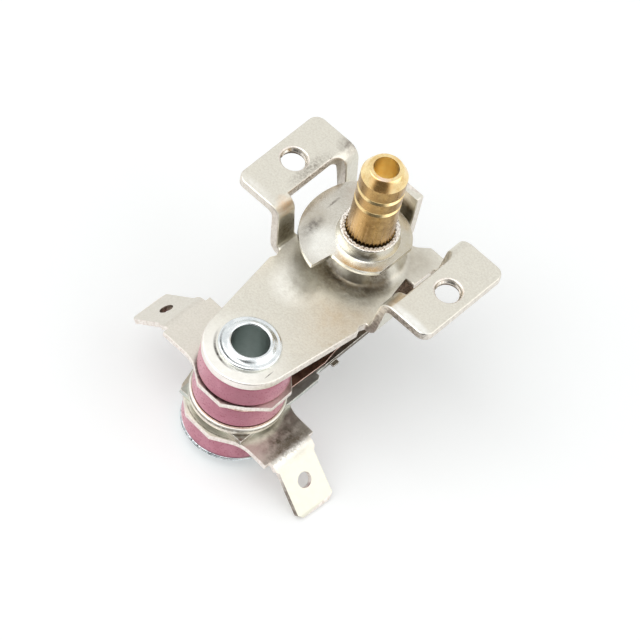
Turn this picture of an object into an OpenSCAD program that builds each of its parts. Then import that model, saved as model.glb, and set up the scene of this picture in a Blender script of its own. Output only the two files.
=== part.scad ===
// Adjustable bimetal oven thermostat, in millimetres.
// The origin is on the shaft's axis, level with the mounting face of the ears.
// +Z points along the shaft to the knob, -Y points to the ceramic stack.

/* [Bracket] */
// Thickness of the sheet
sheet = 1.2; // [0.9:0.1:1.5]
// Depth from the ears' mounting face down to the plate's top face
plate_depth = 7; // [6.5:0.1:9]
// Half width of the flat plate between the wings
plate_half = 7.9; // [7.5:0.1:8.6]
// Lean of the wings away from upright, in degrees
wing_lean = 8; // [2:1:14]
// Inside radius of the bends at the foot of the wings and of the stop tab
foot_bend = 0.5; // [0.3:0.1:0.8]
// Inside radius of the bends under the ears
ear_bend = 0.9; // [0.5:0.1:1.2]
// Distance from the shaft's axis to an ear's outer edge
ear_reach = 17.2; // [16.5:0.1:20]
// Radius of the ears' outer corners
ear_corner = 1.5; // [0.5:0.1:2.5]
// Distance from the shaft's axis to the wings' front edge
wing_front = 7.9; // [7:0.1:8.4]
// Distance from the shaft's axis to the wings' back edge
wing_back = 7.9; // [7.4:0.1:9]
// Distance between the two tapped holes
hole_pitch = 28; // [27:0.5:29]
// Core diameter of the tapped holes
tap_core_d = 3.5; // [3.3:0.1:4.2]
// Diameter of the countersink round a tapped hole
tap_mouth_d = 4.2; // [4.2:0.1:4.6]

/* [Windows] */
// Distance from the shaft's axis to a window's outer edge
window_reach = 10.65; // [10.2:0.05:11.2]
// Front edge of the windows, measured from the shaft's axis
window_front = 4.6; // [4:0.1:5.2]
// Back edge of the windows, measured from the shaft's axis
window_back = 5.4; // [4.6:0.1:5.7]
// Radius of a window's outer back corner
window_corner = 1.9; // [0.8:0.1:2]
// Distance from the shaft's axis to the deep part of a window's foot
window_root = 6.4; // [6.2:0.1:7]
// Back end of the deep part, measured from the shaft's axis
window_step = 1.6; // [0.5:0.1:2.6]
// Length of the deep part
window_bite = 2.7; // [2:0.1:3.5]
// Slant at the corners of the deep part
window_slant = 0.5; // [0.2:0.1:0.8]

/* [Arm and stop tab] */
// Distance from the shaft's axis to the rivet's axis
arm_length = 22; // [21:0.5:26]
// Radius of the arm's round end
arm_end_r = 6.3; // [6:0.1:7]
// Half width of the arm at its shoulders
arm_half = 8; // [7.6:0.1:8.6]
// Distance from the wings' front edge to the arm's shoulders
relief_length = 1.7; // [1:0.1:2.4]
// Depth of the relief notches beside the wings' front edge
relief_depth = 0.4; // [0.2:0.1:0.8]
// Width of the stop tab
stop_width = 4; // [3:0.1:4.6]
// Height of the stop tab above the ears' mounting face
stop_height = 1.3; // [0.5:0.1:3]
// Width of the relief notch on each side of the stop tab
stop_relief = 1.5; // [0.8:0.1:2]
// Size of the chamfer between a relief notch and the plate's back edge
stop_chamfer = 1.3; // [0.5:0.1:1.6]
// How much wider a relief notch is at its mouth
stop_slant = 0.5; // [0.2:0.1:0.8]

/* [Boss] */
// Radius of the drawn boss where it leaves the plate
boss_base_r = 6; // [5.6:0.1:6.2]
// Radius of the boss at its top
boss_top_r = 4.2; // [3.9:0.1:4.6]
// Height of the boss above the plate's top face
boss_height = 3.5; // [2.8:0.1:3.6]
// Radius of the curve between the boss and the plate
boss_fillet = 0.8; // [0.3:0.1:1.2]
// Chamfer round the boss's top
boss_edge = 0.3; // [0.1:0.1:0.5]
// Length of the boss's thread
boss_thread = 2.4; // [1.6:0.1:3]

/* [Shaft] */
// Diameter of the knob end
shaft_d = 6.35; // [6:0.05:6.4]
// Height of the shaft above the ears' mounting face
shaft_top = 12.8; // [11:0.1:18]
// Mean diameter of the thread in the boss
thread_d = 5.4; // [5:0.1:5.6]
// Rise of the shaft in one turn
thread_pitch = 1; // [0.5:0.05:1.25]
// Length of the threaded end below the plate
thread_below = 2; // [1.4:0.1:2.6]
// Height of the top chamfer
chamfer_height = 1.5; // [0.8:0.1:2.2]
// Diameter of the flat ring at the top
top_ring_d = 4.7; // [4.4:0.1:5.2]
// Diameter of the blind hole in the top
top_hole_d = 3.5; // [2.5:0.05:3.8]
// Depth of the blind hole in the top
top_hole_depth = 6; // [3:0.5:9]
// Height of the lower groove above the ears' mounting face
lower_groove = 6.3; // [5:0.1:7.4]
// Height of the upper groove above the ears' mounting face
upper_groove = 8.8; // [7.8:0.1:10.5]
// Width of a groove
groove_width = 0.7; // [0.4:0.1:1]
// Depth of a groove
groove_depth = 0.28; // [0.1:0.02:0.4]
// Diameter over the teeth of the knurl
knurl_d = 6.6; // [6.5:0.1:6.9]
// Number of teeth of the knurl
knurl_teeth = 36; // [24:2:48]
// Depth of a knurl tooth
knurl_depth = 0.3; // [0.15:0.05:0.35]
// Height of the knurl above the disc's collar
knurl_above = 0.5; // [0.2:0.1:1]
// Depth of the socket in the threaded end
socket_depth = 2.6; // [1.5:0.1:4]

/* [Stop disc] */
// Thickness of the disc
disc_t = 0.8; // [0.6:0.1:1]
// Gap between the boss and the disc
disc_gap = 0.3; // [0.2:0.05:0.5]
// Radius of the disc's narrow side
disc_r = 6; // [5.6:0.1:6.3]
// Distance from the axis to the flat on the narrow side
disc_flat = 5.2; // [4.8:0.1:5.5]
// Radius of the lobe
lobe_r = 9; // [8.4:0.1:9.2]
// How far the lobe's arc is centred towards its end
lobe_shift = 0.4; // [0:0.1:0.6]
// Angle where the lobe starts, in degrees
lobe_start = 135; // [125:1:150]
// Angle where the lobe ends, in degrees
lobe_end = 260; // [230:1:270]
// Distance from the axis to the crease of the lobe
crease_reach = 6.8; // [6.4:0.1:7.6]
// Direction in which the creased part of the lobe points, in degrees
crease_angle = 191; // [180:1:200]
// Slope of the creased part, in degrees
crease_slope = 16; // [0:1:20]
// Height of the collar above the disc
collar_height = 1.85; // [1.2:0.05:2.2]
// Wall of the collar at its top
collar_wall = 0.75; // [0.4:0.05:0.9]
// How much wider the collar is at its foot
collar_flare = 0.3; // [0.1:0.05:0.6]

/* [Ceramic stack] */
// Diameter of the upper and middle ring
ring_d = 12.6; // [12:0.1:13]
// Height of the upper and middle ring
ring_h = 3.9; // [3.4:0.1:4.6]
// Diameter of the lower ring
lower_ring_d = 13.6; // [12.6:0.1:13.8]
// Height of the lower ring
lower_ring_h = 3.6; // [3:0.1:4.6]
// Chamfer round a ring's edges
ring_chamfer = 0.25; // [0.1:0.05:0.4]
// Bore of the hollow rivet
rivet_bore_d = 5.1; // [4.4:0.1:5.4]
// Wall of the hollow rivet
rivet_wall = 0.5; // [0.4:0.05:0.7]
// Diameter of the rivet's rolled head and tail
rivet_head_d = 8.6; // [7.8:0.1:9]
// Height of the rolled head and tail
rivet_head_h = 1.15; // [0.9:0.05:1.3]
// Wall of the insulating sleeve
sleeve_wall = 0.6; // [0.4:0.05:0.7]
// Diameter of the bottom washer
bottom_washer_d = 13.8; // [12.6:0.1:14]
// Thickness of the bottom washer
bottom_washer_t = 0.6; // [0.4:0.1:1]
// Diameter of the spacer washer
spacer_d = 13.2; // [12.6:0.1:13.4]
// Thickness of the spacer washer
spacer_t = 1.2; // [0.8:0.1:1.4]
// Clearance between pieces that slip into each other
slip_gap = 0.05; // [0.02:0.01:0.08]

/* [Terminals] */
// Thickness of a terminal
tab_t = 0.8; // [0.6:0.1:0.9]
// Width of a push-on tab
tab_w = 6.3; // [4.8:0.1:6.5]
// Width of a terminal's bend
bend_w = 7.1; // [6.6:0.1:8]
// Inside radius of a terminal's bend
tab_bend = 0.8; // [0.4:0.1:1.2]
// Corners of a terminal's ring
terminal_corners = 10; // [6:1:12]
// Radius over the corners of the upper terminal's ring
upper_terminal_r = 6.9; // [6.7:0.1:7.2]
// Radius over the corners of the lower terminal's ring
lower_terminal_r = 7.4; // [6.8:0.1:7.6]
// Radius between a terminal's ring and its neck
neck_fillet = 5; // [1:0.5:6]
// Half width of a neck
neck_half = 4.4; // [4:0.1:4.8]
// Distance from the rivet's axis to the upper terminal's bend
upper_neck = 10.8; // [9.5:0.1:13]
// Length of the upper tab past its bend
upper_tab = 7.4; // [6:0.1:8]
// Bend of the upper tab, in degrees
upper_bend = 42; // [20:1:60]
// Turn of the upper terminal in the stack, in degrees
upper_turn = -1.5; // [-10:0.5:10]
// Distance from the upper tab's tip to its catch hole
upper_catch_reach = 4.3; // [3:0.1:4.5]
// Diameter of the upper tab's catch hole
upper_catch_d = 1.9; // [1.4:0.1:2.4]
// Distance from the rivet's axis to the lower terminal's bend
lower_neck = 10.3; // [9.5:0.1:13]
// Length of the lower tab past its bend
lower_tab = 8.1; // [6.5:0.1:9]
// Bend of the lower tab, in degrees
lower_bend = 45; // [20:1:60]
// Turn of the lower terminal in the stack, in degrees
lower_turn = -3.5; // [-10:0.5:10]
// Distance from the lower tab's tip to its catch hole
lower_catch_reach = 4.5; // [3:0.1:5]
// Diameter of the lower tab's catch hole
lower_catch_d = 2.2; // [1.4:0.1:2.4]
// Length of the bevel at a tab's tip
tip_bevel = 0.7; // [0.4:0.1:1]

/* [Leaves and contacts] */
// Thickness of the two contact leaves
leaf_t = 0.25; // [0.2:0.05:0.3]
// Radius of the upper leaf round the rivet
upper_leaf_r = 7.1; // [6.9:0.1:7.4]
// Half width of the upper leaf beside the stack
upper_leaf_half = 6.35; // [6:0.05:6.8]
// Half width of the upper leaf past its waist
upper_waist_half = 5.9; // [4.5:0.1:6.3]
// Half width of the upper leaf's blade
upper_blade_half = 3.4; // [2.6:0.1:4]
// Distance from the shaft's axis to the start of the upper leaf's waist
waist_reach = 12.8; // [12:0.1:13.5]
// Length of the waist
waist_length = 2.6; // [1.5:0.1:3]
// Distance from the shaft's axis to the place where the upper leaf narrows to its blade
narrow_reach = 7.5; // [6:0.1:9]
// Length of that narrowing
narrow_length = 3; // [2:0.5:4]
// Half width of the lower leaf where it leaves the stack
lower_base_half = 4.6; // [4:0.1:5]
// Half width of the lower leaf's blade
lower_blade_half = 2.8; // [2.2:0.1:3.4]
// Rise of the lower leaf's blade above its clamped end
blade_rise = 1.8; // [1.4:0.1:2]
// Distance from the shaft's axis to the contacts
contact_reach = 6.5; // [5.5:0.1:8]
// Diameter of a contact's head
contact_d = 3.6; // [2.8:0.1:4]
// Diameter of a contact's shank
contact_shank_d = 1.8; // [1.4:0.1:2]
// Height of a contact's closing head
contact_tail_h = 0.4; // [0.3:0.1:0.6]
// Gap between the open contacts
contact_gap = 0.2; // [0.15:0.05:0.4]
// Gap between a leaf and a piece that it moves with
rest_gap = 0.02; // [0.01:0.01:0.04]

/* [Bimetal] */
// Thickness of the bimetal strip
bimetal_t = 0.8; // [0.7:0.1:1.2]
// Half width of the strip in the stack
bimetal_half = 5.6; // [5:0.1:6]
// Half width of the strip's free part
bimetal_tongue_half = 4.7; // [4:0.1:5]
// Distance from the rivet's axis to the strip's square back end
bimetal_back = 5.2; // [4.8:0.1:5.6]
// Distance from the shaft's axis to the end of the wide part
bimetal_step = 11.5; // [10.5:0.1:12.5]
// Reach of the strip's free end past the shaft's axis
bimetal_end = 2.6; // [2.2:0.1:4]
// Width of the nib on the strip's right edge
nib_w = 1.2; // [0.8:0.1:1.6]
// Distance from the shaft's axis to the nib
nib_reach = 8.1; // [7:0.1:9]
// Diameter of the pusher pin
pusher_d = 2.6; // [2.2:0.1:3]
// Diameter of the pusher pin's collar
pusher_collar_d = 3.6; // [3.2:0.1:4.4]
// Diameter of the pusher pin's spigot in the bimetal
spigot_d = 2; // [1.6:0.1:2.1]
// Diameter of the push tip in the shaft
push_tip_d = 2.9; // [2.2:0.1:3.2]

/* [Hidden] */
$fn = 64;

// Overlap of a cutting shape past the face that it cuts
over = 1;

// Levels of the bracket
plate_top = -plate_depth;
plate_bottom = plate_top - sheet;
boss_top = plate_top + boss_height;

// Levels of the stack, from the plate down
upper_ring_bottom = plate_bottom - ring_h;
upper_leaf_top = upper_ring_bottom - tab_t;
upper_leaf_bottom = upper_leaf_top - leaf_t;
middle_ring_bottom = upper_leaf_bottom - ring_h;
spacer_top = middle_ring_bottom - leaf_t;
bimetal_top = spacer_top - spacer_t;
bimetal_bottom = bimetal_top - bimetal_t;
lower_ring_top = bimetal_bottom - tab_t;
lower_ring_bottom = lower_ring_top - lower_ring_h;
stack_bottom = lower_ring_bottom - bottom_washer_t;

// Radii of the pieces that slip into each other round the rivet
rivet_inner_r = rivet_bore_d / 2;
rivet_r = rivet_inner_r + rivet_wall;
sleeve_inner_r = rivet_r + slip_gap;
sleeve_r = sleeve_inner_r + sleeve_wall;
stack_bore_r = sleeve_r + slip_gap;

// Bends of the wings: the foot's centre, the wall's length and the ear's centre
foot_outer = foot_bend + sheet;
ear_outer = ear_bend + sheet;
wall_start_x = plate_half + foot_bend * cos(wing_lean);
wall_start_z = plate_top + foot_bend - foot_bend * sin(wing_lean);
wall_end_z = -ear_outer + ear_outer * sin(wing_lean);
wall_length = (wall_end_z - wall_start_z) / cos(wing_lean);
ear_start_x = wall_start_x + wall_length * sin(wing_lean) + ear_outer * cos(wing_lean);

// Outline of the arm: the line from a shoulder runs into the round end
shoulder_y = -wing_front - relief_length;
shoulder_from_rivet = arm_length + shoulder_y;
shoulder_distance = norm([arm_half, shoulder_from_rivet]);
touch_angle = atan2(shoulder_from_rivet, arm_half) - acos(arm_end_r / shoulder_distance);
touch_r = arm_end_r - 0.02;
touch_x = touch_r * cos(touch_angle);
touch_y = -arm_length + touch_r * sin(touch_angle);

// The shaft in its boss and the disc on the shaft
thread_r = thread_d / 2;
boss_bore_r = thread_r + slip_gap;
disc_bottom = boss_top + disc_gap;
disc_top = disc_bottom + disc_t;
collar_top = disc_top + collar_height;
knurl_r = knurl_d / 2;
collar_bore_r = knurl_r + slip_gap;
collar_r = collar_bore_r + collar_wall;
lobe_far = lobe_r + lobe_shift;
knurl_top = collar_top + knurl_above;
knurl_root = knurl_r - knurl_depth;
thread_end = plate_bottom - thread_below;

// The push tip runs from its socket in the shaft down to the upper leaf
push_tip_r = push_tip_d / 2;
socket_r = push_tip_r + slip_gap;
push_tip_bottom = upper_leaf_top + rest_gap;
push_tip_top = thread_end + socket_depth - slip_gap;

// The pusher pin's spigot in the strip
spigot_r = spigot_d / 2;

// The contacts share the room between the leaves
blade_top = spacer_top + leaf_t + blade_rise;
blade_bottom = blade_top - leaf_t;
contact_head_h = (upper_leaf_bottom - blade_top - contact_gap) / 2;
clamp_edge = -arm_length + ring_d / 2;

// Points on an arc, for turned outlines
function arc(centre, r, from, to, steps = 6) = [
    for (i = [0 : steps])
        let (a = from + (to - from) * i / steps)
        centre + r * [cos(a), sin(a)]
];

// A part of a flat ring between two angles less than half a turn apart
module ring_sector(inner, outer, from, to) {
    far = 3 * outer;
    middle = (from + to) / 2;
    intersection() {
        difference() {
            circle(outer);
            circle(inner);
        }
        polygon([
            [0, 0],
            far * [cos(from), sin(from)],
            far * [cos(middle), sin(middle)],
            far * [cos(to), sin(to)]
        ]);
    }
}

// Closed outline from the corners of its +X side
function both_halves(corners) = concat(
    corners,
    [for (i = [len(corners) - 1 : -1 : 0]) [-corners[i][0], corners[i][1]]]
);

// Both sides of something drawn for the +X side
module both_sides() {
    children();
    mirror([1, 0, 0]) children();
}

// Turns a profile drawn as (x, z) into a bar that runs along Y
module along_y(front, back) {
    translate([0, back, 0])
        rotate([90, 0, 0])
            linear_extrude(back - front)
                children();
}

// Turns a profile drawn as (y, z) into a bar that runs along X
module along_x(half) {
    translate([-half, 0, 0])
        rotate([90, 0, 90])
            linear_extrude(2 * half)
                children();
}

// Puts something drawn round the origin on the rivet's axis
module at_rivet() {
    translate([0, -arm_length, 0]) children();
}

// Wing and ear in one bent section, seen along Y
module wing_profile() {
    translate([plate_half, plate_top + foot_bend])
        ring_sector(foot_bend, foot_outer, 270, 360 - wing_lean);
    translate([wall_start_x, wall_start_z])
        rotate(-wing_lean)
            square([sheet, wall_length]);
    translate([ear_start_x, -ear_outer])
        ring_sector(ear_bend, ear_outer, 90, 180 - wing_lean);
    translate([ear_start_x, -sheet])
        square([ear_reach - ear_start_x, sheet]);
}

// Outline of a wing seen from above, with the ear's round corners
module wing_outline() {
    inner = window_root;
    translate([inner, -wing_front])
        square([ear_reach - ear_corner - inner, wing_front + wing_back]);
    translate([inner, -wing_front + ear_corner])
        square([ear_reach - inner, wing_front + wing_back - 2 * ear_corner]);
    for (y = [-wing_front + ear_corner, wing_back - ear_corner])
        translate([ear_reach - ear_corner, y])
            circle(ear_corner);
}

// Window seen from above; its foot bites into the plate on the front side
module window_outline() {
    bite_start = wall_start_x + sheet / 2;
    difference() {
        polygon([
            [window_reach, -window_front],
            [bite_start, -window_front],
            [plate_half, window_slant - window_front],
            [window_root + window_slant, window_step - window_bite],
            [window_root, window_step],
            [plate_half, window_step],
            [plate_half, window_back],
            [window_reach, window_back]
        ]);
        translate([window_reach - window_corner, window_back - window_corner])
            difference() {
                square(window_corner + over);
                circle(window_corner);
            }
    }
}

// Plate with its arm, seen from above
module plate_outline() {
    notch_x = stop_width / 2 + stop_relief;
    polygon(both_halves([
        [touch_x, touch_y],
        [arm_half, shoulder_y],
        [arm_half - relief_depth, shoulder_y + relief_length / 2],
        [plate_half, -wing_front],
        [plate_half, wing_back],
        [notch_x + stop_slant + stop_chamfer, wing_back],
        [notch_x + stop_slant, wing_back - stop_chamfer],
        [notch_x, wing_back - foot_outer]
    ]));
    at_rivet() circle(arm_end_r);
}

// Stop tab seen along X, from its bend up
module stop_profile() {
    centre = [wing_back - foot_outer, plate_top + foot_bend];
    translate(centre)
        ring_sector(foot_bend, foot_outer, 270, 360);
    translate([wing_back - sheet, centre[1]])
        square([sheet, stop_height - centre[1]]);
}

// Drawn boss in half section, hollow underneath, with its bore
module boss_profile() {
    lean = atan2(boss_base_r - boss_top_r, boss_height);
    fillet_x = boss_base_r + boss_fillet * tan((90 - lean) / 2);
    fillet_centre = [fillet_x, plate_top + boss_fillet];
    polygon(concat(
        [
            [boss_bore_r, boss_top],
            [boss_top_r - boss_edge, boss_top],
            [boss_top_r, boss_top - boss_edge]
        ],
        arc(fillet_centre, boss_fillet, 180 + lean, 270),
        [
            [fillet_x, plate_bottom],
            [boss_base_r - sheet / 2, plate_bottom],
            [boss_bore_r, boss_top - boss_thread]
        ]
    ));
}

module tapped_hole() {
    depth = (tap_mouth_d - tap_core_d) / 2;
    translate([0, 0, -sheet - over])
        cylinder(h = sheet + 2 * over, d = tap_core_d);
    translate([0, 0, -depth])
        cylinder(h = depth + 0.01, d1 = tap_core_d, d2 = tap_mouth_d + 0.02);
}

module bracket() {
    color([0.84, 0.81, 0.77]) {
        difference() {
            union() {
                translate([0, 0, plate_bottom])
                    linear_extrude(sheet)
                        difference() {
                            plate_outline();
                            circle(boss_base_r - sheet / 2);
                        }
                both_sides()
                    intersection() {
                        along_y(-wing_front, wing_back) wing_profile();
                        translate([0, 0, plate_bottom - over])
                            linear_extrude(plate_depth + sheet + 2 * over)
                                wing_outline();
                    }
                along_x(stop_width / 2) stop_profile();
                rotate_extrude() boss_profile();
            }
            both_sides() {
                translate([0, 0, plate_bottom - over])
                    linear_extrude(plate_depth + sheet + 2 * over)
                        window_outline();
                translate([hole_pitch / 2, 0, 0]) tapped_hole();
            }
            at_rivet()
                translate([0, 0, plate_bottom - over])
                    cylinder(h = sheet + 2 * over, r = rivet_r + slip_gap);
        }
    }
}

// Half section of the shaft with its top chamfer and two grooves
module shaft_profile() {
    r = shaft_d / 2;
    edge = 0.2;
    groove_r = r - groove_depth;
    polygon(concat(
        [
            [0, thread_end],
            [thread_r - edge, thread_end],
            [thread_r, thread_end + edge],
            [thread_r, disc_bottom],
            [knurl_root - edge / 2, disc_bottom],
            [knurl_root - edge / 2, knurl_top],
            [r, knurl_top]
        ],
        [
            for (z = [lower_groove, upper_groove])
                for (p = [[r, -0.5], [groove_r, -0.15], [groove_r, 0.15], [r, 0.5]])
                    [p[0], z + p[1] * groove_width]
        ],
        [
            [r, shaft_top - chamfer_height],
            [top_ring_d / 2 + edge / 2, shaft_top - edge],
            [top_ring_d / 2 - edge / 2, shaft_top],
            [0, shaft_top]
        ]
    ));
}

// Straight teeth of the knurl, seen from above
module knurl_outline(tip, root) {
    step = 180 / knurl_teeth;
    polygon([
        for (i = [0 : 2 * knurl_teeth - 1])
            (i % 2 == 0 ? tip : root) * [cos(step * i), sin(step * i)]
    ]);
}

module shaft() {
    color([0.78, 0.6, 0.3]) {
        difference() {
            union() {
                rotate_extrude() shaft_profile();
                translate([0, 0, disc_bottom])
                    linear_extrude(knurl_top - disc_bottom)
                        knurl_outline(knurl_r, knurl_root);
            }
            translate([0, 0, shaft_top - top_hole_depth])
                cylinder(h = top_hole_depth + over, d = top_hole_d);
            translate([0, 0, thread_end - over])
                cylinder(h = socket_depth + over, r = socket_r);
        }
    }
}

// Stop disc seen from above: narrow side with its flat, and the lobe
module disc_outline() {
    difference() {
        circle(disc_r);
        translate([disc_flat, -disc_r])
            square(2 * disc_r);
    }
    intersection() {
        ring_sector(disc_r / 2, lobe_far, lobe_start, lobe_end);
        translate([0, -lobe_shift])
            circle(lobe_r);
    }
}

// Level in the middle and bent down past the crease, seen along Y
module disc_profile() {
    drop = (lobe_far - crease_reach) * tan(crease_slope);
    polygon([
        [-lobe_far, disc_bottom],
        [crease_reach, disc_bottom],
        [lobe_far, disc_bottom - drop],
        [lobe_far, disc_top - drop],
        [crease_reach, disc_top],
        [-lobe_far, disc_top]
    ]);
}

module collar_profile() {
    foot = collar_r + collar_flare;
    edge = 0.25;
    polygon(concat(
        [[collar_bore_r, disc_bottom], [foot, disc_bottom], [foot, disc_top]],
        arc([collar_r - edge, collar_top - edge], edge, 0, 90, 3),
        [[collar_bore_r, collar_top]]
    ));
}

module cam_disc() {
    bite = 0.2;
    color([0.84, 0.82, 0.78]) {
        difference() {
            union() {
                intersection() {
                    translate([0, 0, disc_bottom - over])
                        linear_extrude(disc_t + 2 * over)
                            disc_outline();
                    rotate(crease_angle)
                        along_y(-lobe_far, lobe_far) disc_profile();
                }
                rotate_extrude() collar_profile();
            }
            translate([0, 0, disc_bottom - over])
                linear_extrude(disc_t + collar_height + 2 * over)
                    knurl_outline(collar_bore_r, knurl_root + slip_gap);
            translate([0, 0, collar_top - bite])
                linear_extrude(bite + over)
                    knurl_outline(collar_bore_r + bite, knurl_r);
        }
    }
}

// Turned ceramic pin with a round end at the bottom
module push_tip() {
    nose = 2;
    edge = 0.2;
    color([0.93, 0.9, 0.84])
        rotate_extrude()
            polygon(concat(
                arc([0, push_tip_bottom + nose], nose, 270, 270 + asin(push_tip_r / nose), 5),
                [
                    [push_tip_r, push_tip_top - edge],
                    [push_tip_r - edge, push_tip_top],
                    [0, push_tip_top]
                ]
            ));
}

// Half section of a rolled head on level 0: over the crown, round the rim and back to the tube
rolled_head = let (
    r = rivet_head_d / 2,
    rim = 0.3,
    lip = 0.35,
    crown_x = rivet_inner_r + lip
) concat(
    arc([crown_x, rivet_head_h - lip], lip, 180, 90, 4),
    [
        [crown_x + lip / 2, rivet_head_h - 0.05],
        [crown_x + 2 * lip, 1.9 * rim],
        [r - 2 * rim, 1.8 * rim]
    ],
    arc([r - rim, rim], rim, 100, -90, 6),
    [[rivet_r, 0]]
);

module hollow_rivet() {
    last = len(rolled_head) - 1;
    color([0.8, 0.84, 0.87])
        at_rivet()
            rotate_extrude()
                polygon(concat(
                    [for (p = rolled_head) [p[0], plate_top + p[1]]],
                    [for (i = [last : -1 : 0]) [rolled_head[i][0], stack_bottom - rolled_head[i][1]]]
                ));
}

// Flat ring with chamfered edges on the rivet's axis
module stack_ring(bottom, height, r, bore, chamfer) {
    at_rivet()
        rotate_extrude()
            polygon([
                [bore, bottom],
                [r - chamfer, bottom],
                [r, bottom + chamfer],
                [r, bottom + height - chamfer],
                [r - chamfer, bottom + height],
                [bore, bottom + height]
            ]);
}

module ceramic_ring(bottom, height, d) {
    color([0.79, 0.5, 0.57])
        stack_ring(bottom, height, d / 2, stack_bore_r, ring_chamfer);
}

module upper_ring() {
    ceramic_ring(upper_ring_bottom, ring_h, ring_d);
}

module middle_ring() {
    ceramic_ring(middle_ring_bottom, ring_h, ring_d);
}

module lower_ring() {
    ceramic_ring(lower_ring_bottom, lower_ring_h, lower_ring_d);
}

module bottom_washer() {
    color([0.8, 0.84, 0.87])
        stack_ring(stack_bottom, bottom_washer_t, bottom_washer_d / 2, rivet_r + slip_gap, 0.15);
}

module spacer_washer() {
    color([0.84, 0.81, 0.77])
        stack_ring(bimetal_top, spacer_t, spacer_d / 2, stack_bore_r, 0.2);
}

module insulating_sleeve() {
    color([0.93, 0.9, 0.84])
        stack_ring(lower_ring_bottom + slip_gap, plate_bottom - lower_ring_bottom - 2 * slip_gap,
            sleeve_r, sleeve_inner_r, 0.1);
}

// Fills the corner between a ring and the neck that leaves it
module neck_corner(r, half, fillet) {
    centre_x = sqrt(pow(r + fillet, 2) - pow(half + fillet, 2));
    centre = [centre_x, half + fillet];
    touch = centre * r / (r + fillet);
    difference() {
        polygon([[0, 0], touch, centre, [centre_x, half], [centre_x, 0]]);
        translate(centre) circle(fillet);
    }
}

// Tab seen at right angles to its face, from behind the bend to the tip, with the catch hole
module tab_outline(tab, catch_reach, catch_d) {
    half = tab_w / 2;
    shoulder = bend_w - tab_w;
    chamfer = 0.8;
    back = -3 * tab_t;
    difference() {
        polygon([
            [back, -half - shoulder], [0, -half - shoulder], [shoulder, -half],
            [tab - chamfer, -half], [tab, chamfer - half], [tab, half - chamfer], [tab - chamfer, half],
            [shoulder, half], [0, half + shoulder], [back, half + shoulder]
        ]);
        translate([tab - catch_reach, 0]) circle(d = catch_d);
    }
}

// Bend and tab from the side, round the bend's centre, with both faces bevelled at the tip
module tab_section(tab, bend) {
    outer = tab_bend + tab_t;
    bevel = tab_t / 4;
    along = [cos(bend), -sin(bend)];
    out = [sin(bend), cos(bend)];
    polygon(concat(
        arc([0, 0], outer, 90, 90 - bend),
        [
            (tab - tip_bevel) * along + outer * out,
            tab * along + (outer - bevel) * out,
            tab * along + (tab_bend + bevel) * out,
            (tab - tip_bevel) * along + tab_bend * out
        ],
        arc([0, 0], tab_bend, 90 - bend, 90)
    ));
}

// Terminal round the origin with its neck towards +X and its top face at level 0
module terminal(r, neck, tab, bend, catch_reach, catch_d) {
    inscribed = r * cos(180 / terminal_corners);
    bend_outer = tab_bend + tab_t;
    translate([0, 0, -tab_t])
        linear_extrude(tab_t)
            difference() {
                union() {
                    circle(r, $fn = terminal_corners);
                    translate([0, -neck_half]) square([neck, 2 * neck_half]);
                    for (side = [0, 1])
                        mirror([0, side]) neck_corner(inscribed, neck_half, neck_fillet);
                }
                circle(stack_bore_r);
            }
    translate([neck, 0, -bend_outer])
        intersection() {
            along_y(-bend_w / 2, bend_w / 2) tab_section(tab, bend);
            rotate([0, bend, 0])
                translate([0, 0, -over])
                    linear_extrude(bend_outer + 2 * over)
                        tab_outline(tab, catch_reach, catch_d);
        }
}

module upper_terminal() {
    color([0.85, 0.83, 0.79])
        at_rivet()
            translate([0, 0, upper_ring_bottom])
                rotate(upper_turn)
                    mirror([1, 0, 0])
                        terminal(upper_terminal_r, upper_neck, upper_tab, upper_bend,
                            upper_catch_reach, upper_catch_d);
}

module lower_terminal() {
    color([0.85, 0.83, 0.79])
        at_rivet()
            translate([0, 0, bimetal_bottom])
                rotate(lower_turn)
                    terminal(lower_terminal_r, lower_neck, lower_tab, lower_bend,
                        lower_catch_reach, lower_catch_d);
}

// Upper leaf seen from above, with the hole for its contact
module upper_leaf_outline() {
    tip_y = bimetal_end - upper_blade_half;
    difference() {
        union() {
            at_rivet() circle(upper_leaf_r);
            polygon(both_halves([
                [upper_leaf_half, -arm_length],
                [upper_leaf_half, -waist_reach],
                [upper_waist_half, -waist_reach + waist_length],
                [upper_waist_half, -narrow_reach],
                [upper_blade_half, -narrow_reach + narrow_length],
                [upper_blade_half, tip_y]
            ]));
            translate([0, tip_y]) circle(upper_blade_half);
        }
        at_rivet() circle(stack_bore_r);
        translate([0, -contact_reach]) circle(contact_shank_d / 2 + rest_gap);
    }
}

module upper_leaf() {
    color([0.8, 0.74, 0.68])
        translate([0, 0, upper_leaf_bottom])
            linear_extrude(leaf_t)
                upper_leaf_outline();
}

// Lower leaf seen from above, with the hole for its contact
module lower_leaf_outline() {
    tip_y = pusher_d / 2 + 0.6;
    tip_chamfer = lower_blade_half / 2;
    difference() {
        union() {
            at_rivet() circle(ring_d / 2);
            polygon(both_halves([
                [lower_base_half, -arm_length],
                [lower_base_half, clamp_edge],
                [lower_blade_half, clamp_edge + 2.5],
                [lower_blade_half, tip_y - tip_chamfer],
                [lower_blade_half - tip_chamfer, tip_y]
            ]));
        }
        at_rivet() circle(stack_bore_r);
        translate([0, -contact_reach]) circle(contact_shank_d / 2 + rest_gap);
    }
}

// The lower leaf steps up to its blade past the stack, seen along X
module lower_leaf_profile() {
    ramp_start = clamp_edge + 0.8;
    ramp_end = ramp_start + 3.6;
    back = -arm_length - ring_d;
    end = bimetal_end + over;
    polygon([
        [back, spacer_top], [ramp_start, spacer_top], [ramp_end, blade_bottom], [end, blade_bottom],
        [end, blade_top], [ramp_end, blade_top], [ramp_start, spacer_top + leaf_t],
        [back, spacer_top + leaf_t]
    ]);
}

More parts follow.
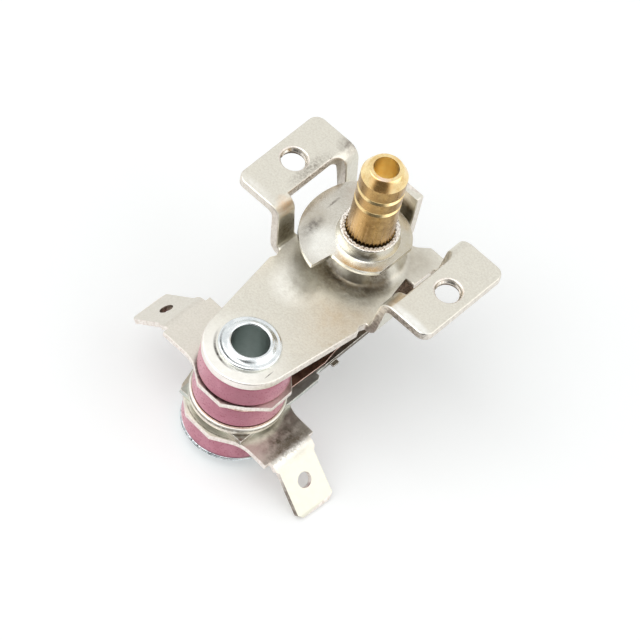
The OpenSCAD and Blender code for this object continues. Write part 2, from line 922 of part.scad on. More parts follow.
module lower_leaf() {
    color([0.78, 0.62, 0.42])
        intersection() {
            translate([0, 0, spacer_top - over])
                linear_extrude(blade_rise + leaf_t + 2 * over)
                    lower_leaf_outline();
            along_x(ring_d) lower_leaf_profile();
        }
}

// Contact rivet whose head hangs under a leaf; the leaf's lower face is at level 0
module contact(gap) {
    r = contact_d / 2;
    shank_r = contact_shank_d / 2;
    tail_r = shank_r + 0.6;
    tail = leaf_t + gap;
    edge = 0.25;
    rotate_extrude()
        polygon([
            [0, -contact_head_h],
            [r - 2 * edge, -contact_head_h],
            [r, edge - contact_head_h],
            [r, -gap],
            [shank_r, -gap],
            [shank_r, tail],
            [tail_r, tail],
            [tail_r - edge, tail + contact_tail_h],
            [0, tail + contact_tail_h]
        ]);
}

module upper_contact() {
    color([0.82, 0.83, 0.82])
        translate([0, -contact_reach, upper_leaf_bottom])
            contact(rest_gap);
}

module lower_contact() {
    color([0.82, 0.83, 0.82])
        translate([0, -contact_reach, blade_top])
            mirror([0, 0, 1]) contact(rest_gap);
}

// Bimetal strip seen from above, with square back corners and a narrower tongue
module bimetal_outline() {
    corner = 0.6;
    difference() {
        polygon(both_halves([
            [bimetal_half, -arm_length - bimetal_back],
            [bimetal_half, -bimetal_step - corner],
            [bimetal_half - corner / 2, -bimetal_step],
            [bimetal_tongue_half, -bimetal_step],
            [bimetal_tongue_half, bimetal_end - corner],
            [bimetal_tongue_half - corner, bimetal_end]
        ]));
        at_rivet() circle(stack_bore_r);
        circle(spigot_r + rest_gap);
    }
}

module bimetal_strip() {
    nib_t = 0.3;
    nib_out = 0.65;
    color([0.42, 0.44, 0.42]) {
        translate([0, 0, bimetal_bottom])
            linear_extrude(bimetal_t)
                bimetal_outline();
        translate([0, -nib_reach - nib_w / 2, bimetal_bottom])
            cube([bimetal_tongue_half + nib_out, nib_w, nib_t]);
    }
}

// Ceramic pin with a collar on the bimetal and a spigot through it
module pusher_pin() {
    r = pusher_d / 2;
    ring_r = pusher_collar_d / 2;
    edge = 0.2;
    bottom = bimetal_bottom - edge;
    seat = bimetal_top + rest_gap;
    shoulder = seat + 4 * edge;
    top = blade_bottom - rest_gap;
    color([0.93, 0.9, 0.84])
        rotate_extrude()
            polygon([
                [0, bottom],
                [spigot_r - edge, bottom],
                [spigot_r, bottom + edge],
                [spigot_r, seat],
                [ring_r, seat],
                [ring_r, shoulder - edge],
                [ring_r - edge, shoulder],
                [r, shoulder],
                [r, top - edge],
                [r - 2 * edge, top],
                [0, top]
            ]);
}

bracket();
shaft();
cam_disc();
push_tip();
hollow_rivet();
bottom_washer();
upper_ring();
middle_ring();
lower_ring();
insulating_sleeve();
upper_terminal();
lower_terminal();
upper_leaf();
upper_contact();
lower_leaf();
lower_contact();
spacer_washer();
bimetal_strip();
pusher_pin();
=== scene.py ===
import math

import bmesh
import bpy
from mathutils import Matrix, Vector
from mathutils.bvhtree import BVHTree


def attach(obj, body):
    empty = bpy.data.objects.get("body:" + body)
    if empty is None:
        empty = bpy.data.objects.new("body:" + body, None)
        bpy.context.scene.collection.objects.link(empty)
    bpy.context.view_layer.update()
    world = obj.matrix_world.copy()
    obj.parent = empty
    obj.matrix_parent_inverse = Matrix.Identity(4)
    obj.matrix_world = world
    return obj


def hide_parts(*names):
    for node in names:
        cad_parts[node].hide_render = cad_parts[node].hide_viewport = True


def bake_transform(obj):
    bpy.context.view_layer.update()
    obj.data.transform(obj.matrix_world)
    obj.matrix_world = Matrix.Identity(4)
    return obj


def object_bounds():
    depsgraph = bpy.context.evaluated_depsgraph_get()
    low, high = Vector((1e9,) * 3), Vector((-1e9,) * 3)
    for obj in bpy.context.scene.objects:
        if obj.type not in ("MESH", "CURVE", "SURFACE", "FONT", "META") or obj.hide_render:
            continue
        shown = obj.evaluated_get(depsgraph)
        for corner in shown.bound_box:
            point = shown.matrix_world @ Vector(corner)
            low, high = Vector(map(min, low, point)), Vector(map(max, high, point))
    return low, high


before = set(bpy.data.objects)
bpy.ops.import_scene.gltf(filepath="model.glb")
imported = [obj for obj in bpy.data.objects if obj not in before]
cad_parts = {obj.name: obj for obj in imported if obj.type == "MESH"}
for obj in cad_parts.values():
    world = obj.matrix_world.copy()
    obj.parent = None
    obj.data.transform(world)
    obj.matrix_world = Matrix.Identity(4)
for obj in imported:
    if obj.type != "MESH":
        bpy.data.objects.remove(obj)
cadLow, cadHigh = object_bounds()
mm = 0.001
shaftAt = (0, 0)   # upright axes, in mm
rivetAt = (0, -22)
rivetAxis = Vector((*rivetAt, 0)) * mm


def tone(red, green, blue):
    # screen colour, 0 to 255, as the linear colour that a shader wants
    def linear(c):
        c /= 255
        return c / 12.92 if c <= 0.04045 else ((c + 0.055) / 1.055) ** 2.4

    return linear(red), linear(green), linear(blue), 1.0


# nodes

def fillSockets(tree, node, values):
    # each value is a constant for the input, or the output that it is linked to
    for socket, value in values.items():
        if isinstance(value, bpy.types.NodeSocket):
            tree.links.new(value, node.inputs[socket])
        else:
            node.inputs[socket].default_value = value


def addNode(tree, kind, values=None, **settings):
    node = tree.nodes.new("ShaderNode" + kind)
    for setting, value in settings.items():
        setattr(node, setting, value)
    fillSockets(tree, node, values or {})
    return node


def maths(tree, operation, *values):
    return addNode(tree, "Math", dict(enumerate(values)), operation=operation).outputs[0]


def distance(tree, vector, place):
    return addNode(tree, "VectorMath", {0: vector, 1: place}, operation="DISTANCE").outputs["Value"]


def spread(tree, value, low, high, start=0.3, end=0.7, **settings):
    # a value that runs from start to end, as one that runs from low to high
    node = addNode(tree, "MapRange", {0: value, 1: start, 2: end, 3: low, 4: high}, **settings)
    return node.outputs["Result"]


def stretched(tree, vector, scale):
    return addNode(tree, "Mapping", {"Vector": vector, "Scale": scale}).outputs["Vector"]


def noise(tree, vector, scale, detail=3, rough=0.55):
    values = {"Vector": vector, "Scale": scale, "Detail": detail, "Roughness": rough}
    return addNode(tree, "TexNoise", values).outputs["Fac"]


def twoTones(tree, value, dark, light, start, end):
    node = addNode(tree, "ValToRGB", {"Fac": value})
    for point, at, colour in zip(node.color_ramp.elements, (start, end), (dark, light)):
        point.position, point.color = at, colour
    return node.outputs["Color"]


def mixColours(tree, share, first, second):
    return addNode(tree, "Mix", {0: share, 6: first, 7: second}, data_type="RGBA").outputs[2]


def addBump(tree, shader, layers, grain=1.0):
    # each layer: height, how far it rises in mm, strength
    last = {}
    for height, rise, strength in layers:
        values = {"Distance": rise * grain * mm, "Strength": strength, "Height": height, **last}
        last = {"Normal": addNode(tree, "Bump", values).outputs["Normal"]}
    fillSockets(tree, shader, last)


# camera, lamps, floor

view = {
    "azimuth": -30.65,   # degrees from looking along +Y
    "elevation": 54.3,
    "roll": 15.12,
    "shift": (6.711, 12.581),   # mm across the view, to frame the object
    "distance": 900,   # mm
    "focal": 6846 / 640,   # in image widths
    "sensor": 36,   # mm
    "clip": (0.05, 20),   # m
}


def viewAxes():
    az, el, roll = (math.radians(view[k]) for k in ("azimuth", "elevation", "roll"))
    ahead = Vector((math.sin(az) * math.cos(el), math.cos(az) * math.cos(el), -math.sin(el)))
    level = Vector((math.cos(az), -math.sin(az), 0))
    upright = level.cross(ahead)
    right = math.cos(roll) * level + math.sin(roll) * upright
    up = -math.sin(roll) * level + math.cos(roll) * upright
    return right, up, ahead


def addCamera():
    right, up, ahead = viewAxes()
    data = bpy.data.cameras.new("camera")
    data.sensor_width = view["sensor"]
    data.lens = view["sensor"] * view["focal"]
    data.clip_start, data.clip_end = view["clip"]
    camera = bpy.data.objects.new("camera", data)
    place = -(right * view["shift"][0] + up * view["shift"][1] + ahead * view["distance"]) * mm
    turn = Matrix((right, up, -ahead)).transposed().to_4x4()
    camera.matrix_world = Matrix.Translation(place) @ turn
    bpy.context.scene.collection.objects.link(camera)
    bpy.context.scene.camera = camera


lamps = {
    # name: where it stands and its size in m, its power in watts
    "keyLamp": {"at": (-0.22, -0.3, 0.7), "size": 1.0, "power": 3.8},
    "fillLamp": {"at": (0.55, 0.25, 0.45), "size": 0.9, "power": 1.4},
}


def addLamps():
    for name, lamp in lamps.items():
        data = bpy.data.lights.new(name, "AREA")
        data.shape = "DISK"
        data.size = lamp["size"]
        data.energy = lamp["power"]
        obj = bpy.data.objects.new(name, data)
        obj.location = lamp["at"]
        obj.rotation_euler = (-obj.location).to_track_quat("-Z", "Y").to_euler()
        bpy.context.scene.collection.objects.link(obj)


sky = {
    "ambient": 0.57,   # light that falls on the object from all sides
    "seen": 1.0,   # what the camera sees past the floor
    "mirror": 1.15,   # what metal sees
    "darkSide": (0.48, -0.81, 0.22),   # the dark room behind the camera, as metal sees it
    "dark": 0.15,
    "darkSpan": (0.7, 0.92),   # cosine of the angle to it: from clear to fully dark
}


def addWorld():
    world = bpy.data.worlds.new("studio")
    bpy.context.scene.world = world
    world.use_nodes = True
    tree = world.node_tree
    tree.nodes.clear()
    rays = addNode(tree, "LightPath").outputs
    around = addNode(tree, "TexCoord").outputs["Generated"]
    darkSide = Vector(sky["darkSide"]).normalized()
    facing = addNode(tree, "VectorMath", {0: around, 1: darkSide}, operation="DOT_PRODUCT").outputs["Value"]
    room = spread(tree, facing, sky["mirror"], sky["dark"], *sky["darkSpan"],
                  interpolation_type="SMOOTHSTEP")

    plain, mirrored, white = (addNode(tree, "Background", {"Strength": strength}).outputs[0]
                              for strength in (sky["ambient"], room, sky["seen"]))
    bounced = maths(tree, "MAXIMUM", rays["Is Glossy Ray"], rays["Is Transmission Ray"])
    light = addNode(tree, "MixShader", {0: bounced, 1: plain, 2: mirrored}).outputs[0]
    shown = addNode(tree, "MixShader", {0: rays["Is Camera Ray"], 1: light, 2: white}).outputs[0]
    addNode(tree, "OutputWorld", {"Surface": shown})


floor = {
    "size": 0.36,   # m
    "gap": 0.1,   # mm under the lowest point
    "colour": (0.854, 0.87, 0.868),
    "lift": 0.226,   # glow that brings the lit floor up to white and leaves the shadow
}


def addFloor():
    bm = bmesh.new()
    bmesh.ops.create_grid(bm, x_segments=1, y_segments=1, size=floor["size"] / 2)
    bmesh.ops.translate(bm, verts=bm.verts, vec=(0, 0, cadLow.z - floor["gap"] * mm))
    mesh = bpy.data.meshes.new("studioFloor")
    bm.to_mesh(mesh)
    bm.free()
    obj = bpy.data.objects.new("studioFloor", mesh)
    bpy.context.scene.collection.objects.link(obj)
    material = bpy.data.materials.new("floorPaper")
    material.use_nodes = True
    tree = material.node_tree
    tree.nodes.clear()
    rays = addNode(tree, "LightPath").outputs
    seen = maths(tree, "MAXIMUM", rays["Is Camera Ray"], rays["Is Glossy Ray"])
    paper = addNode(tree, "BsdfDiffuse", {"Color": (*floor["colour"], 1)}).outputs[0]
    glow = addNode(tree, "Emission", {"Strength": maths(tree, "MULTIPLY", seen, floor["lift"])}).outputs[0]
    both = addNode(tree, "AddShader", {0: paper, 1: glow}).outputs[0]
    addNode(tree, "OutputMaterial", {"Surface": both})
    mesh.materials.append(material)


# materials; a noise is given as scale per mm, detail and roughness, a rise as height in mm and strength

def startMaterial(name):
    material = bpy.data.materials.new(name)
    material.use_nodes = True
    tree = material.node_tree
    vector = stretched(tree, addNode(tree, "TexCoord").outputs["Object"], (1 / mm,) * 3)   # metres to mm
    return material, tree, tree.nodes["Principled BSDF"], vector


# how the marks of painted shade and light, and of wear, are broken up
shadeAndWearBreakup = {
    "speckle": 1.5,   # noise scale that breaks a mark up, where the mark gives none
    "detail": (5, 0.7),
    "edge": (0.38, 0.62),   # noise values between which a mark comes in
    "share": (0.4, 1.0),   # how much of a mark shows, at least and at most
    "ringCore": 0.3,   # part of a ring's width that is whole
}


def nearness(tree, vector, at, inner, outer, shape):
    # 1 within the inner distance of a point, 0 past the outer one; shape weighs the three axes
    away = distance(tree, stretched(tree, vector, shape), [a * s for a, s in zip(at, shape)])
    return spread(tree, away, 1.0, 0.0, inner, outer)


def ringNear(tree, vector, axis, radius, width):
    # 1 on a circle round an upright axis, 0 past its width
    away = distance(tree, stretched(tree, vector, (1, 1, 0)), (*axis, 0))
    off = maths(tree, "ABSOLUTE", maths(tree, "SUBTRACT", away, radius))
    return spread(tree, off, 1.0, 0.0, width * shadeAndWearBreakup["ringCore"], width)


def addMarks(tree, vector, colour, marks):
    # painted shade, painted highlights and painted reflections, and a few scuffs and specks, each round a
    # point or on part of a circle
    for mark in marks:
        shape = mark.get("shape", (1, 1, 1))
        share = nearness(tree, vector, mark["at"], mark["inner"], mark["outer"], shape)
        if "ring" in mark:
            share = maths(tree, "MULTIPLY", share, ringNear(tree, vector, *mark["ring"]))
        rough = noise(tree, vector, mark.get("speckle", shadeAndWearBreakup["speckle"]), *shadeAndWearBreakup["detail"])
        cover = spread(tree, rough, *mark.get("share", shadeAndWearBreakup["share"]), *shadeAndWearBreakup["edge"])
        colour = mixColours(tree, maths(tree, "MULTIPLY", share, cover), colour, mark["colour"])
    return colour


sheetLook = {
    # fine grain in colour and height, soft ripples, a slight bow
    "grain": (3.4, 4, 0.75), "grainRise": (0.03, 0.8),
    "ripple": (1.3, 3, 0.6), "rippleRise": (0.03, 0.5),
    "bow": (0.11, 1), "bowRise": (0.06, 0.5),
    "gloss": (1.2, 4),
    "steps": (0.36, 0.6),   # noise values of the dark and the light tone
}


def sheetMetal(name, light, dark, roughness=(0.3, 0.42), grain=1.0, marks=()):
    # plated sheet
    look = sheetLook
    material, tree, shader, vector = startMaterial(name)
    fine = noise(tree, vector, *look["grain"])
    colour = twoTones(tree, fine, dark, light, *look["steps"])
    gloss = noise(tree, vector, *look["gloss"])
    fillSockets(tree, shader, {"Base Color": addMarks(tree, vector, colour, marks), "Metallic": 1.0,
                               "Roughness": spread(tree, gloss, *roughness)})
    addBump(tree, shader, [(fine, *look["grainRise"]),
                           (noise(tree, vector, *look["ripple"]), *look["rippleRise"]),
                           (noise(tree, vector, *look["bow"]), *look["bowRise"])], grain)
    return material


shearLook = {
    "stretch": (2.6, 2.6, 1.2), "streaks": (1.0, 5, 0.7), "rise": (0.02, 0.5),
    "steps": (0.35, 0.6),
}


def shearedMetal(name, light, dark, roughness=(0.3, 0.5), marks=(), metal=1.0):
    # cut side of a sheet: streaks across the thickness
    look = shearLook
    material, tree, shader, vector = startMaterial(name)
    streaks = noise(tree, stretched(tree, vector, look["stretch"]), *look["streaks"])
    colour = twoTones(tree, streaks, dark, light, *look["steps"])
    fillSockets(tree, shader, {"Base Color": addMarks(tree, vector, colour, marks), "Metallic": metal,
                               "Roughness": spread(tree, streaks, *roughness)})
    addBump(tree, shader, [(streaks, *look["rise"])])
    return material


turnLook = {
    "bands": 0.314,   # mm between bands at a wave scale of 1
    "waver": 0.6, "waverDetail": 2, "turnRise": (0.003, 0.4),
    "tarnish": (0.8, 6, 0.68), "steps": (0.38, 0.58),
    "gloss": (2.2, 4),
    "scratchStretch": (4, 4, 0.5), "scratches": (1.0, 3, 0.7), "scratchRise": (0.012, 0.35),
}


def turnedMetal(name, light, dark, roughness=(0.2, 0.34), pitch=0.11, scratched=False, marks=()):
    # turned bar: rings along Z, patches of tarnish
    look = turnLook
    material, tree, shader, vector = startMaterial(name)
    rings = addNode(tree, "TexWave", {"Vector": vector, "Scale": look["bands"] / pitch,
                                      "Distortion": look["waver"], "Detail": look["waverDetail"]},
                    wave_type="BANDS", bands_direction="Z")
    tarnish = noise(tree, vector, *look["tarnish"])
    colour = twoTones(tree, tarnish, dark, light, *look["steps"])
    gloss = noise(tree, vector, *look["gloss"])
    fillSockets(tree, shader, {"Base Color": addMarks(tree, vector, colour, marks), "Metallic": 1.0,
                               "Roughness": spread(tree, gloss, *roughness)})
    layers = [(rings.outputs["Fac"], *look["turnRise"])]
    if scratched:
        lines = noise(tree, stretched(tree, vector, look["scratchStretch"]), *look["scratches"])
        layers.append((lines, *look["scratchRise"]))
    addBump(tree, shader, layers)
    return material


biteLook = {
    "bites": (3.6, 3, 0.6), "rise": (0.16, 0.9),
    "steps": (0.36, 0.5),
    "roughness": 0.42,
}


def bittenRim(name, light, dark):
    # collar's top, chewed by the knurl as it was pressed in
    look = biteLook
    material, tree, shader, vector = startMaterial(name)
    bites = noise(tree, vector, *look["bites"])
    colour = twoTones(tree, bites, dark, light, *look["steps"])
    fillSockets(tree, shader, {"Base Color": colour, "Metallic": 1.0, "Roughness": look["roughness"]})
    addBump(tree, shader, [(bites, *look["rise"])])
    return material


ceramicLook = {
    "clouds": (0.5, 5, 0.6), "steps": (0.35, 0.65),
    "specks": (9, 2, 0.5), "speckShare": (0.0, 0.12), "speckSpan": (0.64, 0.74), "speckShade": 0.72,
    "gloss": (3, 3), "refraction": 1.55,
    "pores": (7, 3), "poreRise": (0.008, 0.5),
    "dents": (1.4, 2), "dentRise": (0.02, 0.4),
}


def firedCeramic(name, light, dark, roughness=(0.34, 0.48), marks=()):
    # cloudy, with fine darker specks
    look = ceramicLook
    material, tree, shader, vector = startMaterial(name)
    clouds = noise(tree, vector, *look["clouds"])
    specks = spread(tree, noise(tree, vector, *look["specks"]), *look["speckShare"], *look["speckSpan"])
    colour = twoTones(tree, clouds, dark, light, *look["steps"])
    colour = mixColours(tree, specks, colour, tuple(c * look["speckShade"] for c in dark[:3]) + (1,))
    gloss = noise(tree, vector, *look["gloss"])
    fillSockets(tree, shader, {"Base Color": addMarks(tree, vector, colour, marks),
                               "IOR": look["refraction"],
                               "Roughness": spread(tree, gloss, *roughness)})
    addBump(tree, shader, [(noise(tree, vector, *look["pores"]), *look["poreRise"]),
                           (noise(tree, vector, *look["dents"]), *look["dentRise"])])
    return material


stripLook = {
    "stretch": (9, 0.5, 9), "lines": (1.0, 4, 0.6), "lineShare": (0.0, 0.4), "lineRise": (0.008, 0.5),
    "clouds": (0.45, 5, 0.6), "steps": (0.34, 0.64),
}


def rolledStrip(name, light, dark, roughness=(0.34, 0.5), marks=()):
    # spring strip: fine rolling lines along Y
    look = stripLook
    material, tree, shader, vector = startMaterial(name)
    lines = noise(tree, stretched(tree, vector, look["stretch"]), *look["lines"])
    clouds = noise(tree, vector, *look["clouds"])
    colour = twoTones(tree, clouds, dark, light, *look["steps"])
    colour = mixColours(tree, spread(tree, lines, *look["lineShare"]), colour, dark)
    fillSockets(tree, shader, {"Base Color": addMarks(tree, vector, colour, marks), "Metallic": 1.0,
                               "Roughness": spread(tree, clouds, *roughness)})
    addBump(tree, shader, [(lines, *look["lineRise"])])
    return material


# marks, mostly painted shade, painted highlights and painted reflections, a few of them wear; places,
# distances and rings (axis, radius, width) in mm
bracketMarks = [
    # painted shade on the plate in front of the disc and round the boss, for the disc's shadow and dark
    # reflection
    {"at": (-1.8, -6.0, -7.2), "shape": (0.8, 1.1, 1.2), "inner": 1.4, "outer": 3.7,
     "colour": tone(164, 152, 136), "share": (0.3, 1.0), "speckle": 2.4},
    {"at": (1.2, -5.6, -7.2), "shape": (1, 1, 1.2), "inner": 3.4, "outer": 5.4, "ring": (shaftAt, 6.3, 1.0),
     "colour": tone(156, 144, 128), "share": (0.1, 0.8)},
    # boss: painted shade on its foot and right side, painted highlight on its front
    {"at": (2.4, -4.4, -6.3), "inner": 3.8, "outer": 5.6, "ring": (shaftAt, 5.4, 0.9),
     "colour": tone(88, 79, 65), "share": (0.7, 1.0)},
    {"at": (4.6, -2.2, -5.9), "inner": 1.4, "outer": 2.5,
     "colour": tone(112, 102, 86), "share": (0.6, 1.0)},
    {"at": (2.4, -4.6, -5.4), "inner": 0.6, "outer": 2.3,
     "colour": tone(170, 158, 136), "share": (0.5, 1.0)},
    # painted highlight on the plate towards the arm
    {"at": (-2.6, -10.3, -7), "shape": (1, 1, 0), "inner": 2.2, "outer": 4.2,
     "colour": tone(255, 253, 244), "share": (0.5, 1.0)},
    # painted warm reflection on the bend of the left ear, painted shade on the plate behind the shaft
    {"at": (-10.2, -6.1, -1), "inner": 0.5, "outer": 1.7,
     "colour": tone(224, 194, 162), "share": (0.3, 0.9)},
    {"at": (5.6, 4.6, -7), "shape": (1, 1, 0), "inner": 1.2, "outer": 3.6,
     "colour": tone(198, 192, 178), "share": (0.6, 1.0)},
    # painted highlights along the front edges of both ears
    {"at": (14, -7.3, 0), "shape": (0.22, 1, 1), "inner": 0.35, "outer": 1.0,
     "colour": tone(255, 255, 250), "share": (0.6, 1.0)},
    {"at": (-14, -7.3, 0), "shape": (0.22, 1, 1), "inner": 0.35, "outer": 1.0,
     "colour": tone(248, 246, 238), "share": (0.2, 0.9)},
    # painted shade on the back corner of the left ear; dark specks beside its window; a dark spot at the
    # tip of the right ear; painted brown reflection on the front of the left wing
    {"at": (-10.6, 7.3, 0), "inner": 0.4, "outer": 2.1,
     "colour": tone(152, 144, 134), "share": (0.3, 1.0)},
    {"at": (-11.4, 0.4, 0), "shape": (1, 0.3, 1), "inner": 0.3, "outer": 1.4,
     "colour": tone(146, 138, 126), "share": (0.0, 0.8), "speckle": 2.6},
    {"at": (16.6, -7.8, -0.3), "inner": 0.2, "outer": 0.6,
     "colour": tone(70, 64, 58), "share": (0.6, 1.0)},
    {"at": (-8.4, -6, -4.6), "inner": 0.8, "outer": 2.8,
     "colour": tone(134, 120, 92)},
    # painted shade on the stop tab
    {"at": (0, 6.3, -2.6), "shape": (1, 2.4, 1), "inner": 2.0, "outer": 3.1,
     "colour": tone(112, 100, 78), "share": (0.8, 1.0)},
    # arm: painted highlight on its end; painted shade in two rings round the rivet, under its head and
    # along the edge; a short dark line
    {"at": (0, -27, -7), "shape": (1, 1, 0), "inner": 3.5, "outer": 9.5,
     "colour": tone(255, 253, 246), "share": (0.8, 1.0)},
    {"at": (-2.2, -26.4, -7), "shape": (1, 1, 0), "inner": 1.2, "outer": 4.4, "ring": (rivetAt, 4.62, 0.26),
     "colour": tone(60, 52, 44), "share": (0.6, 1.0)},
    {"at": (-1, -28.5, -7), "shape": (1, 1, 0), "inner": 2.0, "outer": 5.5, "ring": (rivetAt, 6.78, 0.14),
     "colour": tone(70, 62, 54), "share": (0.0, 1.0)},
    {"at": (4.93, -23.5, -7), "shape": (12, 1, 0), "inner": 0.5, "outer": 1.0,
     "colour": tone(92, 84, 74), "share": (0.5, 1.0)},
    # side of the thick washer: a duller front, and a painted shadow line under its edge
    {"at": (1, -28.4, -18.1), "inner": 3, "outer": 6, "ring": (rivetAt, 6.6, 0.3),
     "colour": tone(212, 204, 192), "share": (0.5, 1.0)},
    {"at": (0, -22, -17.62), "shape": (0, 0, 1), "inner": 0.07, "outer": 0.16, "ring": (rivetAt, 6.6, 0.3),
     "colour": tone(96, 84, 72), "share": (0.4, 1.0), "speckle": 2.0},
]
discMarks = [
    # painted highlights on the front of the lobe and on the right side
    {"at": (-2.6, -5.6, -2.5), "shape": (1, 1, 2), "inner": 1.6, "outer": 4.0,
     "colour": tone(255, 254, 246), "share": (0.8, 1.0)},
    {"at": (3.2, -4.3, -2.5), "shape": (1, 1, 2), "inner": 0.9, "outer": 2.2,
     "colour": tone(255, 255, 252), "share": (0.8, 1.0)},
    # collar: painted dark reflection on its right front, a duller left front
    {"at": (2.7, -3.3, -1.3), "shape": (1, 1, 2), "inner": 0.9, "outer": 2.0,
     "colour": tone(124, 113, 94), "share": (0.6, 1.0)},
    {"at": (-0.6, -4.0, -1.0), "inner": 0.5, "outer": 1.5,
     "colour": tone(212, 204, 190), "share": (0.6, 1.0)},
    # left side of the lobe: dull, with a dark scuff and a dark edge
    {"at": (-7.0, -3.2, -2.5), "shape": (1, 1, 0), "inner": 0.8, "outer": 2.6,
     "colour": tone(200, 193, 178), "share": (0.5, 1.0)},
    {"at": (-5.6, -7.2, -2.5), "shape": (1, 1, 0), "inner": 0.4, "outer": 2.2,
     "colour": tone(206, 202, 192), "share": (0.5, 1.0)},
    {"at": (-5.9, -4.6, -2.5), "shape": (1.6, 0.8, 0), "inner": 0.3, "outer": 2.1,
     "colour": tone(108, 102, 94), "share": (0.25, 0.95), "speckle": 0.9},
    {"at": (-6.6, 0.5, -2.5), "shape": (5, 0.6, 0), "inner": 0.3, "outer": 1.1,
     "colour": tone(116, 108, 98), "share": (0.0, 1.0), "speckle": 2.6},
    # back: grey, yellowish to the right, pinkish in the middle
    {"at": (-6.2, 3.4, -2.5), "shape": (1, 1, 0), "inner": 0.6, "outer": 3.2,
     "colour": tone(186, 180, 168), "share": (0.4, 1.0)},
    {"at": (5.5, 2.5, -2.5), "shape": (1, 1, 0), "inner": 1.0, "outer": 6.0,
     "colour": tone(206, 198, 178), "share": (0.6, 1.0)},
    {"at": (-3.4, 5.2, -2.5), "shape": (1, 1, 0), "inner": 0.8, "outer": 4.6,
     "colour": tone(236, 222, 206), "share": (0.4, 1.0)},
]
shearedMarks = [
    # rough upper edge of the left window
    {"at": (-10.7, 0, -1), "shape": (1, 0.35, 1), "inner": 1.0, "outer": 2.2,
     "colour": tone(140, 124, 108), "share": (0.0, 1.0), "speckle": 2.2},
    # dull front side of the right ear and its wing, painted highlight on the front of the arm
    {"at": (13.6, -8.1, -0.7), "shape": (0.25, 1, 1), "inner": 0.7, "outer": 1.4,
     "colour": tone(128, 120, 110), "share": (0.2, 1.0), "speckle": 2.5},
    {"at": (9.4, -8.2, -4.6), "shape": (1, 1, 0.7), "inner": 1.0, "outer": 2.8,
     "colour": tone(160, 150, 138), "share": (0.1, 0.9), "speckle": 2.0},
    {"at": (-1, -28.6, -7.6), "inner": 4.0, "outer": 8.0,
     "colour": tone(255, 249, 244), "share": (0.7, 1.0)},
]
pinkMarks = [
    # painted light and shade on the rings: pale back, deeper front, pale side of the middle ring
    {"at": (-4.1, -26.8, -14), "shape": (1, 1, 0), "inner": 1.4, "outer": 4.6,
     "colour": tone(228, 152, 170), "share": (0.7, 1.0)},
    {"at": (4.2, -26.7, -10.2), "shape": (1, 1, 0.35), "inner": 1.0, "outer": 3.6,
     "colour": tone(178, 100, 119), "share": (0.7, 1.0)},
    {"at": (6.3, -22.5, -14.9), "shape": (1, 1, 0.8), "inner": 1.4, "outer": 3.6,
     "colour": tone(224, 152, 168), "share": (0.7, 1.0)},
]
bimetalMarks = [
    # painted shade on the free end, under the arm, and a darker corner that stands out of the stack
    {"at": (4.6, -3.4, -19), "inner": 5.6, "outer": 7.6,
     "colour": tone(112, 100, 86), "share": (0.8, 1.0)},
    {"at": (4.9, -26.6, -19), "inner": 1.2, "outer": 2.4,
     "colour": tone(140, 126, 112), "share": (0.5, 1.0)},
]
brassMarks = [
    # painted dark reflection on the front of the shaft, under its grooves
    {"at": (-0.2, -3.2, 4.5), "shape": (1, 1, 0.2), "inner": 0.8, "outer": 2.4,
     "colour": tone(158, 126, 80), "share": (0.6, 1.0)},
    {"at": (1.4, -2.9, 3.0), "shape": (1, 1, 0.25), "inner": 0.3, "outer": 1.2,
     "colour": tone(140, 108, 62), "share": (0.6, 1.0)},
]
topMarks = [
    # painted dark reflection on the front of the chamfer, painted highlight on the lip of the bore
    {"at": (1.4, -2.5, 12.1), "inner": 0.9, "outer": 1.9,
     "colour": tone(255, 196, 118), "share": (0.8, 1.0)},
    {"at": (1.1, -1.85, 12.9), "shape": (1, 1, 6), "inner": 0.5, "outer": 1.3,
     "colour": tone(255, 240, 228), "share": (0.7, 1.0)},
]
rivetMarks = [
    # painted shade: a dark arc on the rolled head
    {"at": (-1.6, -26, -5.9), "shape": (1, 1, 0), "inner": 1.4, "outer": 4.4, "ring": (rivetAt, 3.92, 0.2),
     "colour": tone(58, 62, 62), "share": (0.5, 1.0)},
]
washerMarks = [
    # dark specks along the front rim
    {"at": (0, -28.5, -26), "inner": 3, "outer": 7, "ring": (rivetAt, 6.83, 0.16),
     "colour": tone(58, 62, 64), "share": (0.0, 1.0), "speckle": 2.4},
]
tabMarks = [
    # yellower tab of the lower terminal
    {"at": (14.0, -22.9, -24), "inner": 4.0, "outer": 6.0,
     "colour": tone(228, 226, 210), "share": (0.8, 1.0)},
    # painted contact shadow: a dark line under the upper ring
    {"at": (0, -28.5, -12.2), "inner": 5, "outer": 7, "ring": (rivetAt, 6.32, 0.42),
     "colour": tone(84, 70, 66), "share": (0.7, 1.0)},
    # lower terminal: painted highlight on its front with a painted shade line along its rim, painted
    # highlight on its right side
    {"at": (0.6, -28.3, -19.3), "inner": 2.8, "outer": 4.8,
     "colour": tone(255, 251, 242), "share": (0.6, 1.0)},
    {"at": (0.6, -28.3, -19.3), "inner": 3.2, "outer": 5.0, "ring": (rivetAt, 6.78, 0.13),
     "colour": tone(112, 100, 88), "share": (0.3, 1.0), "speckle": 2.4},
    {"at": (6.0, -23.9, -19.3), "inner": 0.6, "outer": 1.5,
     "colour": tone(255, 251, 242), "share": (0.6, 1.0)},
    # its neck: painted shade, with a painted dark line and a painted highlight across the bend
    {"at": (8.8, -22.0, -20), "shape": (1, 0.7, 0.3), "inner": 0.8, "outer": 3.2,
     "colour": tone(126, 120, 104), "share": (0.2, 1.0), "speckle": 1.1},
    {"at": (9.9, -22.3, -20), "shape": (1, 0.15, 0), "inner": 0.3, "outer": 1.1,
     "colour": tone(132, 122, 108), "share": (0.2, 1.0), "speckle": 2.4},
    {"at": (10.7, -22.5, -20), "shape": (1, 0.14, 0), "inner": 0.2, "outer": 0.8,
     "colour": tone(255, 253, 248), "share": (0.0, 1.0), "speckle": 2.2},
]
